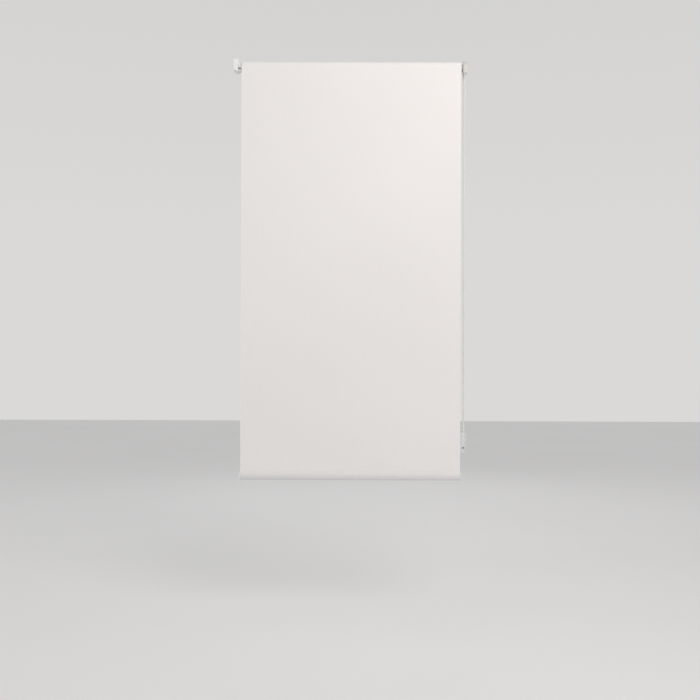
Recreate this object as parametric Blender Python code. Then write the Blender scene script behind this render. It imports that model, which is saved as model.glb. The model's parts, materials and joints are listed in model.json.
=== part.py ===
"""Roller blind for a window recess, raised and lowered by a side bead chain.

Metres, +Z up. The origin is on the outer face of the left bracket, at the height of the roller's
axis. +X runs along the roller towards the chain, -Y faces the room and +Y faces the window.
"""

import math

import bmesh
import bpy
from mathutils import Matrix, Vector

MM = 0.001

# Overall sizes
OVERALL_WIDTH = 600.0 * MM  # between the outer faces of the two brackets
DROP = 1058.0 * MM  # roller axis down to the lowest point of the hem

# Clearances
TOUCH = 0.3 * MM  # between two pieces that sit against each other
RUN = 0.4 * MM  # between two pieces that turn past each other

# Roller tube, with a keyway groove that holds the fabric's spline
TUBE_RADIUS = 14.0 * MM
TUBE_WALL = 1.0 * MM
GROOVE_WIDTH = 4.0 * MM
GROOVE_DEPTH = 2.0 * MM
SPLINE_SUNK = 0.4 * MM  # top of the spline under the tube's surface

# Fabric
FABRIC_THICKNESS = 0.35 * MM
TURNS_ON_TUBE = 5
FABRIC_INSET = 0.3 * MM  # edge of the fabric in from the end of the tube

# Bottom bar and its hem
HEM_DEPTH = 6.0 * MM
HEM_PROUD = 1.1 * MM  # the hem's front stands this far out from the sheet's
BAR_HEIGHT = 15.5 * MM  # of the pocket round the bar
SEAM_ABOVE_BAR = 4.5 * MM
BAR_WALL = 1.0 * MM
BAR_FLAT = 0.4 * MM  # across the bar's rounded top and bottom
CAP_THICKNESS = 2.2 * MM
CAP_EDGE = 0.5 * MM
CAP_TONGUE = 12.0 * MM

# Brackets and their covers
PLATE = 2.0 * MM
SHELL = 1.4 * MM
WALL_STANDOFF = 0.4 * MM  # a cover stops this far from the wall face
COVER_TOP = 19.5 * MM
COVER_HALF_DEPTH = 19.0 * MM
COVER_WIDTH = 12.5 * MM
COVER_LOW_OUTSIDE = 8.0 * MM  # the underside slants down from here
COVER_LOW_INSIDE = 12.5 * MM  # to here
LEDGE_DROP = 8.4 * MM
LEDGE_THICKNESS = 1.5 * MM
WALL_SCREW_HOLE = 2.2 * MM
WALL_SCREW_HEAD = 3.8 * MM
IDLE_SCREW_SPACING = 24.0 * MM
IDLE_SCREW_HEIGHT = 6.5 * MM  # above the roller's axis
DRIVE_SCREW_SPACING = 16.0 * MM
DRIVE_SCREW_DROP = 4.2 * MM  # below the roller's axis
PLATE_CORNER = 3.0 * MM
COVER_EDGE = 1.0 * MM
LEDGE_HALF_DEPTH = 10.5 * MM

# Idle end
IDLE_GAP = 7.8 * MM  # cover to the flange of the idle plug
FLANGE = 1.0 * MM
FLANGE_OVER_TUBE = 0.6 * MM
PLUG_NOSE = 6.0 * MM
PLUG_CHAMFER = 1.0 * MM
PIN_RADIUS = 2.5 * MM
PIN_TIP_FLOOR = 1.0 * MM  # thickness left under the pin's socket, beyond the plate
PIN_COLLAR = 1.5 * MM
PIN_CHAMFER = 0.8 * MM
PIN_STEP = 0.6 * MM  # how much thinner the tail is than the pin
PIN_TAIL = 10.0 * MM
PIN_SPRING_ROOM = 3.0 * MM  # between the pin and the wall of the plug's chamber
PIN_TRAVEL = 10.0 * MM
SOCKET_WALL = 2.6 * MM
SOCKET_LENGTH = 8.5 * MM
IDLE_WIRE = 0.8 * MM
IDLE_COILS = 8
PLUG_CAP = 1.4 * MM

# Drive end
DRIVE_GAP = 3.0 * MM  # guard to the flange of the drive hub
BEAD = 4.5 * MM
BEAD_PITCH = 6.0 * MM
POCKETS = 12
POCKET_ANGLE = 16.5  # degrees from the wheel's front to its first pocket
WHEEL_WIDTH = 6.2 * MM
GUARD_TOP = 18.4 * MM
GUARD_WALL = 1.2 * MM
GUARD_CORNER = 2.5 * MM
GUARD_EDGE = 0.8 * MM
WHEEL_RIM = 0.8 * MM  # beyond the circle of the beads' centres
WHEEL_LIP = 0.4 * MM
POCKET_EASE = 0.15 * MM
HUB_LENGTH = 30.0 * MM
HUB_WALL = 1.4 * MM
SLEEVE_WALL = 1.3 * MM
SLEEVE_LENGTH = 22.0 * MM
SPRING_WIRE = 0.9 * MM
SPRING_COILS = 4
SPRING_START = 3.4 * MM  # first coil, in from the guard's inner face
SPRING_SPACE = 1.6 * MM
SPRING_END_IN = 0.2 * MM  # the ends of the springs stop this far inside the sleeve's face
RETAINER = 1.0 * MM
SPINDLE_WALL = 1.2 * MM  # left round the corners of its square socket
SPINDLE_NECK_STEP = 1.2 * MM
SPINDLE_FLANGE = 0.8 * MM
SPINDLE_FLANGE_WIDTH = 1.5 * MM  # how far the flange stands out of the spindle
BOSS_LENGTH = 4.0 * MM  # square boss on the right bracket, which the spindle slides onto
HUB_SCREW = 1.2 * MM
HUB_SCREW_HEAD = 3.0 * MM
HUB_SCREW_HEAD_HEIGHT = 1.6 * MM
HUB_SCREW_LENGTH = 12.0 * MM
DOG_HALF_WIDTH = 0.7 * MM

# Chain and the safety device that holds its lower end
CORD = 2.0 * MM
CHAIN_DROP = 958.0 * MM  # roller axis to the centre of the chain's lower turn
LOWER_TURN = 7.0 * MM
TIDY_ABOVE_TURN = 20.0 * MM
TIDY_BELOW_TURN = 32.0 * MM
TIDY_WIDTH = 16.5 * MM
TIDY_HALF_DEPTH = 11.4 * MM
TIDY_SHOULDER = 9.0 * MM
TIDY_EDGE = 0.9 * MM
TONGUE = 3.0 * MM
LOCK_SCREW_BELOW_TURN = 17.0 * MM
LOCK_SCREW = 1.2 * MM
LOCK_SCREW_SUNK = 3.2 * MM  # under the head, in from the body's face
LOCK_SCREW_HEAD_HEIGHT = 1.6 * MM
LOCK_SCREW_IN = 7.0 * MM  # its axis, in from the wall face
STOP_RADIUS = 3.6 * MM
STOP_LENGTH = 8.0 * MM
CONNECTOR_RADIUS = 3.3 * MM
CONNECTOR_LENGTH = 12.0 * MM
CONNECTOR_ABOVE_TURN = 88.0 * MM

# What follows from them
PITCH_RADIUS = BEAD_PITCH / (2 * math.sin(math.pi / POCKETS))
FLANGE_RADIUS = TUBE_RADIUS + FLANGE_OVER_TUBE
IDLE_FLANGE_AT = COVER_WIDTH + IDLE_GAP
TUBE_START = IDLE_FLANGE_AT + FLANGE + TOUCH
WHEEL_START = PLATE + TOUCH + 0.5 * TOUCH
WHEEL_END = WHEEL_START + WHEEL_WIDTH
CHAIN_IN = WHEEL_START + WHEEL_WIDTH / 2
GUARD_INSIDE = WHEEL_END + RUN
GUARD_END = GUARD_INSIDE + GUARD_WALL
HUB_FLANGE_AT = GUARD_END + DRIVE_GAP
TUBE_END = OVERALL_WIDTH - (HUB_FLANGE_AT + FLANGE + TOUCH)
FABRIC_START = TUBE_START + FABRIC_INSET
FABRIC_END = TUBE_END - FABRIC_INSET
ROLL_INSIDE = TUBE_RADIUS + TOUCH
ROLL_RADIUS = ROLL_INSIDE + TURNS_ON_TUBE * FABRIC_THICKNESS
SHEET_BACK = ROLL_RADIUS + TOUCH
SHEET_PLANE = SHEET_BACK + FABRIC_THICKNESS / 2
BARREL_RADIUS = TUBE_RADIUS - TUBE_WALL - TOUCH
KEY_FLOOR = TUBE_RADIUS - GROOVE_DEPTH - TUBE_WALL - TOUCH
KEY_WIDTH = GROOVE_WIDTH + 2 * TUBE_WALL + 2 * TOUCH
HUB_BORE = KEY_FLOOR - HUB_WALL
SLEEVE_RADIUS = HUB_BORE - RUN
SLEEVE_BORE = SLEEVE_RADIUS - SLEEVE_WALL
SPRING_RADIUS = SLEEVE_BORE - 1.5 * RUN - SPRING_WIRE / 2
SPINDLE_RADIUS = SPRING_RADIUS - SPRING_WIRE / 2 - TOUCH
SPINDLE_NECK = SPINDLE_RADIUS - SPINDLE_NECK_STEP
SPINDLE_SOCKET = (SPINDLE_RADIUS - SPINDLE_WALL) / math.sqrt(2)  # half the square's width
SPRING_PITCH = SPRING_WIRE + TOUCH
GUARD_BORE = PITCH_RADIUS + BEAD / 2 + 1.25 * RUN
GUARD_RADIUS = GUARD_BORE + SHELL
GUARD_LOW = PITCH_RADIUS + WHEEL_RIM + 1.5 * RUN + SHELL
GUARD_RISE = GUARD_TOP - GUARD_RADIUS  # centre of its round top above the axis
SPLINE_HEIGHT = GROOVE_DEPTH - TOUCH - SPLINE_SUNK
HEM_HEIGHT = BAR_HEIGHT + SEAM_ABOVE_BAR
HEM_TOP = HEM_HEIGHT - DROP
HEM_MIDDLE = SHEET_BACK + FABRIC_THICKNESS + HEM_PROUD - HEM_DEPTH / 2  # in front of the axis
CHAMBER_RADIUS = PIN_RADIUS + PIN_SPRING_ROOM
PLUG_LENGTH = PLUG_NOSE + PIN_COLLAR + PIN_TAIL + PIN_TRAVEL + PLUG_CAP + 2 * TOUCH + RUN
SOCKET_RADIUS = PIN_RADIUS + TOUCH + SOCKET_WALL
TIDY_TOP = CHAIN_DROP - TIDY_ABOVE_TURN
TIDY_BOTTOM = CHAIN_DROP + TIDY_BELOW_TURN
LOCK_SCREW_DROP = CHAIN_DROP + LOCK_SCREW_BELOW_TURN


# Modelling helpers


def clear_scene():
    for thing in list(bpy.data.objects):
        bpy.data.objects.remove(thing, do_unlink=True)


def finish(name, colour, roughness, metallic=0.0):
    material = bpy.data.materials.new(name)
    material.use_nodes = True
    shader = material.node_tree.nodes["Principled BSDF"]
    shader.inputs["Base Color"].default_value = (*colour, 1.0)
    shader.inputs["Roughness"].default_value = roughness
    shader.inputs["Metallic"].default_value = metallic
    return material


def place(thing, parent, at=(0.0, 0.0, 0.0)):
    thing.parent = parent
    thing.location = at
    return thing


def add_empty(name, at, turned_round=False):
    empty = bpy.data.objects.new(name, None)
    empty.location = at
    empty.rotation_euler.z = math.pi if turned_round else 0.0
    bpy.context.scene.collection.objects.link(empty)
    return empty


def add_mesh(name, bm, material=None):
    mesh = bpy.data.meshes.new(name)
    bm.to_mesh(mesh)
    bm.free()
    if material:
        mesh.materials.append(material)
    thing = bpy.data.objects.new(name, mesh)
    bpy.context.scene.collection.objects.link(thing)
    return thing


def smooth(thing, sharp_degrees=35.0):
    thing.data.shade_smooth()
    thing.data.set_sharp_from_angle(angle=math.radians(sharp_degrees))
    return thing


def turned(name, outline, material=None, segments=40):
    """A profile of (x, radius) points turned about the X axis.

    A profile with both ends on the axis is left open there. Any other profile is a closed loop.
    """
    bm = bmesh.new()
    points = [bm.verts.new((x, 0.0, radius)) for x, radius in outline]
    edges = [bm.edges.new(pair) for pair in zip(points, points[1:])]
    if outline[0][1] > 0 or outline[-1][1] > 0:
        edges.append(bm.edges.new((points[-1], points[0])))
    bmesh.ops.spin(
        bm, geom=points + edges, cent=(0, 0, 0), axis=(1, 0, 0), dvec=(0, 0, 0),
        angle=2 * math.pi, steps=segments, use_merge=True,
    )
    bmesh.ops.remove_doubles(bm, verts=bm.verts, dist=1e-6)
    bmesh.ops.recalc_face_normals(bm, faces=bm.faces)
    return smooth(add_mesh(name, bm, material))


# For each axis, where an outline's two coordinates and the length along the axis go
AXES = {
    "x": lambda u, v, along: (along, u, v),
    "y": lambda u, v, along: (u, along, v),
    "z": lambda u, v, along: (u, v, along),
}


def extruded(name, outline, axis, start, stop, material=None):
    """A solid of one outline, in the plane across the axis, drawn from start to stop along it."""
    point_at = AXES[axis]
    bm = bmesh.new()
    face = bm.faces.new([bm.verts.new(point_at(u, v, start)) for u, v in outline])
    grown = bmesh.ops.extrude_face_region(bm, geom=[face])
    moved = [part for part in grown["geom"] if isinstance(part, bmesh.types.BMVert)]
    bmesh.ops.translate(bm, verts=moved, vec=point_at(0.0, 0.0, stop - start))
    bmesh.ops.recalc_face_normals(bm, faces=bm.faces)
    return add_mesh(name, bm, material)


def walled(name, outline, start, stop, wall, material):
    """A hollow section along X: the outline is its outer face, and the wall grows inwards."""
    bm = bmesh.new()
    ring = [bm.verts.new((start, u, v)) for u, v in outline]
    edges = [bm.edges.new(pair) for pair in zip(ring, ring[1:] + ring[:1])]
    grown = bmesh.ops.extrude_edge_only(bm, edges=edges)
    moved = [part for part in grown["geom"] if isinstance(part, bmesh.types.BMVert)]
    bmesh.ops.translate(bm, verts=moved, vec=(stop - start, 0.0, 0.0))
    bmesh.ops.recalc_face_normals(bm, faces=bm.faces)
    middle = sum((vert.co for vert in ring), Vector()) / len(ring)
    outward = sum(
        face.normal.dot(face.calc_center_median() - middle) * face.calc_area() for face in bm.faces
    )
    if outward < 0:
        bmesh.ops.reverse_faces(bm, faces=bm.faces)
    thing = smooth(add_mesh(name, bm, material))
    solidify = thing.modifiers.new("wall", "SOLIDIFY")
    solidify.thickness = wall
    solidify.offset = -1.0
    solidify.use_even_offset = True
    solidify.use_rim = True
    return thing


def rounded_edges(thing, width, segments=2, degrees=30.0):
    bevel = thing.modifiers.new("rounded edges", "BEVEL")
    bevel.width = width
    bevel.segments = segments
    bevel.limit_method = "ANGLE"
    bevel.angle_limit = math.radians(degrees)
    smooth(thing)
    return thing


def combine(thing, tool, operation):
    """Cut the tool out of the thing, or fuse it on. The tool's points are the thing's own."""
    tool.parent = thing
    tool.hide_render = True
    tool.display_type = "WIRE"
    boolean = thing.modifiers.new(tool.name, "BOOLEAN")
    boolean.operation = operation
    boolean.solver = "EXACT"
    boolean.object = tool
    return thing


def cut(thing, tool):
    return combine(thing, tool, "DIFFERENCE")


def fuse(thing, tool):
    return combine(thing, tool, "UNION")


def rod(name, radius, start, stop, axis="x", centre=(0.0, 0.0), segments=24):
    """A plain round bar along an axis, as a tool for cutting or fusing."""
    return extruded(name, arc(*centre, radius, 0.0, 360.0, segments)[:-1], axis, start, stop)


def countersink(name, radius, face, inwards, centre=(0.0, 0.0)):
    """A tool for a 90 degree countersink of one radius at a face across X, deepening inwards."""
    wide = 1.5 * radius
    narrow = 0.2 * radius
    start = face - inwards * (wide - radius)
    stop = face + inwards * (radius - narrow)
    tool = turned(name, [(start, 0.0), (start, wide), (stop, narrow), (stop, 0.0)], segments=24)
    for vert in tool.data.vertices:
        vert.co.y += centre[0]
        vert.co.z += centre[1]
    return tool


def block(name, low, high, material=None):
    """A box between two opposite corners."""
    outline = [(low[1], low[2]), (high[1], low[2]), (high[1], high[2]), (low[1], high[2])]
    return extruded(name, outline, "x", low[0], high[0], material)


def arc(across, up, radius, first, last, steps):
    """Points on a circle, from one angle in degrees to another, both ends included."""
    angles = [math.radians(first + (last - first) * n / steps) for n in range(steps + 1)]
    return [(across + radius * math.cos(a), up + radius * math.sin(a)) for a in angles]


def rounded_rectangle(left, right, low, high, radius, steps=4):
    return (
        arc(right - radius, high - radius, radius, 0, 90, steps)
        + arc(left + radius, high - radius, radius, 90, 180, steps)
        + arc(left + radius, low + radius, radius, 180, 270, steps)
        + arc(right - radius, low + radius, radius, 270, 360, steps)
    )


def arched(radius, rise, low, corner, steps=28):
    """A half round with its centre at one height, and straight sides down to a flat underside."""
    return (
        arc(0.0, rise, radius, 0, 180, steps)
        + arc(corner - radius, corner - low, corner, 180, 270, 3)
        + arc(radius - corner, corner - low, corner, 270, 360, 3)
    )


def tube_along(name, points, thickness, material, closed=False, sides=2):
    """A round wire or cord that follows a list of points."""
    curve = bpy.data.curves.new(name, "CURVE")
    curve.dimensions = "3D"
    curve.bevel_depth = thickness / 2
    curve.bevel_resolution = sides
    curve.use_fill_caps = True
    spline = curve.splines.new("POLY")
    spline.points.add(len(points) - 1)
    for target, point in zip(spline.points, points):
        target.co = (*point, 1.0)
    spline.use_cyclic_u = closed
    curve.materials.append(material)
    thing = bpy.data.objects.new(name, curve)
    bpy.context.scene.collection.objects.link(thing)
    return thing


def cross_recess(screw, x, size, depth, towards):
    """Two crossed slots in a screw's face at x, deepening towards +X or -X."""
    reach = x + towards * depth
    behind = x - towards * depth
    low, high = min(reach, behind), max(reach, behind)
    cut(screw, block(screw.name + ".slot", (low, -size, -size / 4), (high, size, size / 4)))
    cut(screw, block(screw.name + ".cross", (low, -size / 4, -size), (high, size / 4, size)))


# Sub-parts


def keyed_profile():
    """The tube's outer outline: a circle with one square groove at its top."""
    half = GROOVE_WIDTH / 2
    lip = math.degrees(math.asin(half / TUBE_RADIUS))
    floor = TUBE_RADIUS - GROOVE_DEPTH
    rim = arc(0.0, 0.0, TUBE_RADIUS, 90 + lip, 450 - lip, 60)
    return rim + [(half, floor), (-half, floor)]


def cut_keyway(thing, start, stop):
    """Clear the thing of the tube's groove."""
    top = TUBE_RADIUS + FLANGE_OVER_TUBE
    half = KEY_WIDTH / 2
    cut(thing, block(thing.name + ".keyway", (start, -half, KEY_FLOOR), (stop, half, top)))


def make_roller(axis, look):
    tube = walled("roller_tube", keyed_profile(), 0.0, TUBE_END - TUBE_START, TUBE_WALL, look["aluminium"])
    place(tube, axis, (TUBE_START, 0.0, 0.0))

    half = GROOVE_WIDTH / 2 - TOUCH
    floor = TUBE_RADIUS - GROOVE_DEPTH + TOUCH
    spline = block(
        "fabric_spline", (0.0, -half, floor),
        (FABRIC_END - FABRIC_START, half, floor + SPLINE_HEIGHT), look["plastic"],
    )
    place(spline, axis, (FABRIC_START, 0.0, 0.0))

    length = FABRIC_END - FABRIC_START
    ring = [(0.0, ROLL_INSIDE), (0.0, ROLL_RADIUS), (length, ROLL_RADIUS), (length, ROLL_INSIDE)]
    place(turned("fabric_roll", ring, look["fabric"], 64), axis, (FABRIC_START, 0.0, 0.0))


def make_idle_plug(axis, look):
    chamber_end = PLUG_LENGTH - PLUG_CAP - 2 * TOUCH
    cap_seat = CHAMBER_RADIUS + SHELL
    plug = turned(
        "idle_plug",
        [
            (0.0, PIN_RADIUS + TOUCH),
            (0.0, FLANGE_RADIUS),
            (FLANGE, FLANGE_RADIUS),
            (FLANGE, BARREL_RADIUS),
            (PLUG_LENGTH - PLUG_CHAMFER, BARREL_RADIUS),
            (PLUG_LENGTH, BARREL_RADIUS - PLUG_CHAMFER),
            (PLUG_LENGTH, cap_seat),
            (chamber_end, cap_seat),
            (chamber_end, CHAMBER_RADIUS),
            (PLUG_NOSE, CHAMBER_RADIUS),
            (PLUG_NOSE, PIN_RADIUS + TOUCH),
        ],
        look["grey plastic"],
    )
    cut_keyway(plug, FLANGE, PLUG_LENGTH + PLUG_CHAMFER)
    place(plug, axis, (IDLE_FLANGE_AT, 0.0, 0.0))

    cap = turned(
        "idle_plug_cap",
        [(0.0, 0.0), (0.0, cap_seat - TOUCH), (PLUG_CAP, cap_seat - TOUCH), (PLUG_CAP, 0.0)],
        look["grey plastic"],
        32,
    )
    place(cap, axis, (IDLE_FLANGE_AT + chamber_end + TOUCH, 0.0, 0.0))


def make_idle_pin(axis, look):
    """The pin's origin is the face of its collar, which rests on the inside of the plug's nose."""
    collar_at = IDLE_FLANGE_AT + PLUG_NOSE + TOUCH
    tip = PLATE + PIN_TIP_FLOOR + TOUCH - collar_at
    tail = PIN_RADIUS - PIN_STEP
    pin = turned(
        "idle_pin",
        [
            (tip, 0.0),
            (tip, PIN_RADIUS - PIN_CHAMFER),
            (tip + PIN_CHAMFER, PIN_RADIUS),
            (0.0, PIN_RADIUS),
            (0.0, CHAMBER_RADIUS - RUN),
            (PIN_COLLAR, CHAMBER_RADIUS - RUN),
            (PIN_COLLAR, tail),
            (PIN_COLLAR + PIN_TAIL, tail),
            (PIN_COLLAR + PIN_TAIL, 0.0),
        ],
        look["steel"],
        32,
    )
    place(pin, axis, (collar_at, 0.0, 0.0))

    spring_start = collar_at + PIN_COLLAR + TOUCH + IDLE_WIRE / 2
    cap_face = IDLE_FLANGE_AT + PLUG_LENGTH - PLUG_CAP - TOUCH
    spring_length = cap_face - TOUCH - IDLE_WIRE / 2 - spring_start
    spring_radius = (tail + TOUCH + CHAMBER_RADIUS) / 2
    per_turn = 12
    points = []
    for step in range(IDLE_COILS * per_turn + 1):
        angle = 2 * math.pi * step / per_turn
        x = spring_length * step / (IDLE_COILS * per_turn)
        points.append((x, spring_radius * math.cos(angle), spring_radius * math.sin(angle)))
    spring = tube_along("idle_spring", points, IDLE_WIRE, look["steel"], sides=1)
    place(spring, axis, (spring_start, 0.0, 0.0))


def wall_screw_holes(plate, spacing, height):
    """Two countersunk holes for the screws that hold a bracket on its wall."""
    for side in (-1, 1):
        centre = (side * spacing / 2, height)
        label = f"{plate.name}.screw{side}"
        cut(plate, rod(label, WALL_SCREW_HOLE, -PLATE, 2 * PLATE, "x", centre))
        cut(plate, countersink(label + ".sink", WALL_SCREW_HEAD, PLATE, -1, centre))


def make_left_bracket(look):
    """A steel plate with a socket for the idle pin, under a moulded cover."""
    inset = SHELL + TOUCH
    low = COVER_LOW_OUTSIDE - inset
    outline = rounded_rectangle(
        inset - COVER_HALF_DEPTH, COVER_HALF_DEPTH - inset, -low, COVER_TOP - inset, PLATE_CORNER
    )
    plate = extruded("left_bracket", outline, "x", 0.0, PLATE, look["painted steel"])
    fuse(plate, rod("left_bracket.socket", SOCKET_RADIUS, PLATE / 2, SOCKET_LENGTH, segments=32))
    pin_room = PIN_RADIUS + TOUCH
    cut(plate, rod("left_bracket.bore", pin_room, PLATE + PIN_TIP_FLOOR, 2 * SOCKET_LENGTH))
    wall_screw_holes(plate, IDLE_SCREW_SPACING, IDLE_SCREW_HEIGHT)
    smooth(plate)

    slope = (COVER_LOW_INSIDE - COVER_LOW_OUTSIDE) / (COVER_WIDTH - WALL_STANDOFF)
    underside = [
        (WALL_STANDOFF, -COVER_LOW_OUTSIDE),
        (COVER_WIDTH, -COVER_LOW_INSIDE),
        (COVER_WIDTH, COVER_TOP),
        (WALL_STANDOFF, COVER_TOP),
    ]
    cover = extruded("left_bracket_cover", underside, "y", -COVER_HALF_DEPTH, COVER_HALF_DEPTH,
                     look["white plastic"])
    rounded_edges(cover, COVER_EDGE, 3)
    thick = SHELL * math.hypot(1.0, slope)
    deep = COVER_WIDTH - SHELL
    inner_low = COVER_LOW_OUTSIDE + slope * (deep - WALL_STANDOFF) - thick
    open_low = COVER_LOW_OUTSIDE - slope * 2 * WALL_STANDOFF - thick
    hollow = [
        (-WALL_STANDOFF, -open_low),
        (deep, -inner_low),
        (deep, COVER_TOP - SHELL),
        (-WALL_STANDOFF, COVER_TOP - SHELL),
    ]
    room = COVER_HALF_DEPTH - SHELL
    cut(cover, extruded("left_bracket_cover.hollow", hollow, "y", -room, room))
    ledge_end = IDLE_FLANGE_AT - TOUCH
    fuse(cover, block("left_bracket_cover.ledge",
                      (deep + SHELL / 2, -LEDGE_HALF_DEPTH, -LEDGE_DROP - LEDGE_THICKNESS),
                      (ledge_end, LEDGE_HALF_DEPTH, -LEDGE_DROP)))
    cut(cover, rod("left_bracket_cover.bore", PIN_RADIUS + RUN, deep - SHELL, 2 * COVER_WIDTH))


def make_right_bracket(drive, look):
    """A steel plate with a square boss. The spring of the idle pin keeps the drive on the boss."""
    radius = GUARD_BORE - TOUCH
    low = GUARD_LOW - SHELL - TOUCH
    plate = extruded("right_bracket", arched(radius, GUARD_RISE, low, PLATE_CORNER), "x", 0.0, PLATE,
                     look["painted steel"])
    half = SPINDLE_SOCKET - TOUCH
    fuse(plate, block("right_bracket.boss", (PLATE / 2, -half, -half),
                      (PLATE + BOSS_LENGTH, half, half)))
    wall_screw_holes(plate, DRIVE_SCREW_SPACING, -DRIVE_SCREW_DROP)
    place(smooth(plate), drive)


def make_spindle(drive, look):
    """The fixed shaft that the brake springs grip, and the washer and screw that keep the hub on."""
    start = PLATE + TOUCH
    hub_end = HUB_FLANGE_AT + HUB_LENGTH
    neck_end = hub_end + RETAINER
    hole = HUB_SCREW + TOUCH
    hole_end = neck_end - HUB_SCREW_LENGTH - TOUCH
    spindle = turned(
        "drive_spindle",
        [
            (start, 0.0),
            (start, SPINDLE_RADIUS + SPINDLE_FLANGE_WIDTH),
            (start + SPINDLE_FLANGE, SPINDLE_RADIUS + SPINDLE_FLANGE_WIDTH),
            (start + SPINDLE_FLANGE, SPINDLE_RADIUS),
            (hub_end, SPINDLE_RADIUS),
            (hub_end, SPINDLE_NECK),
            (neck_end, SPINDLE_NECK),
            (neck_end, hole),
            (hole_end, hole),
            (hole_end, 0.0),
        ],
        look["grey plastic"],
    )
    socket_end = PLATE + BOSS_LENGTH + TOUCH
    cut(spindle, block("drive_spindle.socket", (0.0, -SPINDLE_SOCKET, -SPINDLE_SOCKET),
                       (socket_end, SPINDLE_SOCKET, SPINDLE_SOCKET)))
    place(spindle, drive)

    washer_at = hub_end + TOUCH
    ring = [
        (0.0, SPINDLE_NECK + TOUCH),
        (0.0, SLEEVE_RADIUS),
        (RETAINER, SLEEVE_RADIUS),
        (RETAINER, SPINDLE_NECK + TOUCH),
    ]
    place(turned("hub_retainer", ring, look["steel"], 32), drive, (washer_at, 0.0, 0.0))

    under_head = washer_at + RETAINER + TOUCH
    screw = turned(
        "hub_screw",
        [
            (-HUB_SCREW_HEAD_HEIGHT, 0.0),
            (-HUB_SCREW_HEAD_HEIGHT, 0.8 * HUB_SCREW_HEAD),
            (-0.75 * HUB_SCREW_HEAD_HEIGHT, HUB_SCREW_HEAD),
            (0.0, HUB_SCREW_HEAD),
            (0.0, HUB_SCREW),
            (HUB_SCREW_LENGTH, HUB_SCREW),
            (HUB_SCREW_LENGTH, 0.0),
        ],
        look["steel"],
        24,
    )
    cross_recess(screw, -HUB_SCREW_HEAD_HEIGHT, 0.6 * HUB_SCREW_HEAD, 0.5 * HUB_SCREW_HEAD_HEIGHT, 1)
    screw.rotation_euler.z = math.pi
    place(screw, drive, (under_head, 0.0, 0.0))


def make_guard(drive, look):
    """The shell round the chain wheel, open towards the wall, with two ways out for the chain."""
    shell = extruded("chain_guard", arched(GUARD_RADIUS, GUARD_RISE, GUARD_LOW, GUARD_CORNER), "x",
                     WALL_STANDOFF, GUARD_END, look["white plastic"])
    rounded_edges(shell, GUARD_EDGE)
    inside = arched(GUARD_BORE, GUARD_RISE, GUARD_LOW - SHELL, GUARD_CORNER - GUARD_EDGE)
    cut(shell, extruded("chain_guard.hollow", inside, "x", -WALL_STANDOFF, GUARD_INSIDE))
    cut(shell, rod("chain_guard.bore", SLEEVE_RADIUS + RUN, WHEEL_END, 2 * GUARD_END, segments=48))
    for side in (-1, 1):
        exit_hole = rod(f"chain_guard.exit{side}", BEAD / 2 + TOUCH, -2 * GUARD_LOW, 0.0, "z",
                        (CHAIN_IN, side * strand_offset(-GUARD_LOW)))
        cut(shell, exit_hole)
    place(shell, drive)


def make_chain_wheel(axis, look):
    """A wheel with a round pocket for each bead, on a sleeve that reaches over the springs."""
    rim = PITCH_RADIUS + WHEEL_RIM
    bore = SPINDLE_RADIUS + TOUCH
    recess = SPINDLE_RADIUS + SPINDLE_FLANGE_WIDTH + RUN
    recess_floor = PLATE + TOUCH + SPINDLE_FLANGE + RUN
    sleeve_end = WHEEL_END + SLEEVE_LENGTH
    groove = CORD / 2 + TOUCH
    wheel = turned(
        "chain_wheel",
        [
            (WHEEL_START, recess),
            (WHEEL_START, rim - WHEEL_LIP),
            (WHEEL_START + WHEEL_LIP, rim),
            (CHAIN_IN - groove, rim),
            (CHAIN_IN - groove, PITCH_RADIUS - groove),
            (CHAIN_IN + groove, PITCH_RADIUS - groove),
            (CHAIN_IN + groove, rim),
            (WHEEL_END - WHEEL_LIP, rim),
            (WHEEL_END, rim - WHEEL_LIP),
            (WHEEL_END, SLEEVE_RADIUS),
            (sleeve_end, SLEEVE_RADIUS),
            (sleeve_end, SLEEVE_BORE),
            (GUARD_END, SLEEVE_BORE),
            (GUARD_END, bore),
            (recess_floor, bore),
            (recess_floor, recess),
        ],
        look["white plastic"],
        36,
    )
    pockets = bmesh.new()
    for number in range(POCKETS):
        angle = math.radians(POCKET_ANGLE) + 2 * math.pi * number / POCKETS
        centre = (CHAIN_IN, PITCH_RADIUS * math.cos(angle), PITCH_RADIUS * math.sin(angle))
        bmesh.ops.create_uvsphere(pockets, u_segments=8, v_segments=5, radius=BEAD / 2 + POCKET_EASE,
                                  matrix=Matrix.Translation(centre))
    cut(wheel, add_mesh("chain_wheel.pockets", pockets))
    half = 0.5 * SLEEVE_RADIUS
    cut(wheel, block("chain_wheel.slot", (GUARD_END + TOUCH, -half, 0.5 * SLEEVE_BORE),
                     (2 * sleeve_end, half, 2 * SLEEVE_RADIUS)))
    place(smooth(wheel), axis)


def make_brake_springs(axis, look):
    """Two close-wound springs. Each one's ends turn out into the sleeve's slot."""
    per_turn = 12
    spread = 20  # degrees between the middle of the slot and each end of a spring
    tip = SLEEVE_RADIUS - SPRING_END_IN
    sweep = 360 * SPRING_COILS - 2 * spread
    steps = SPRING_COILS * per_turn
    length = SPRING_PITCH * sweep / 360
    start = GUARD_END + SPRING_START
    for label in ("outer", "inner"):
        points = []
        for step in range(steps + 1):
            angle = math.radians(90 + spread + sweep * step / steps)
            across, up = math.cos(angle), math.sin(angle)
            x = length * step / steps
            if step == 0:
                points.append((x, tip * across, tip * up))
            points.append((x, SPRING_RADIUS * across, SPRING_RADIUS * up))
            if step == steps:
                points.append((x, tip * across, tip * up))
        spring = tube_along(f"brake_spring_{label}", points, SPRING_WIRE, look["steel"], sides=1)
        place(spring, axis, (start, 0.0, 0.0))
        start += length + SPRING_WIRE + SPRING_SPACE


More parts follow.
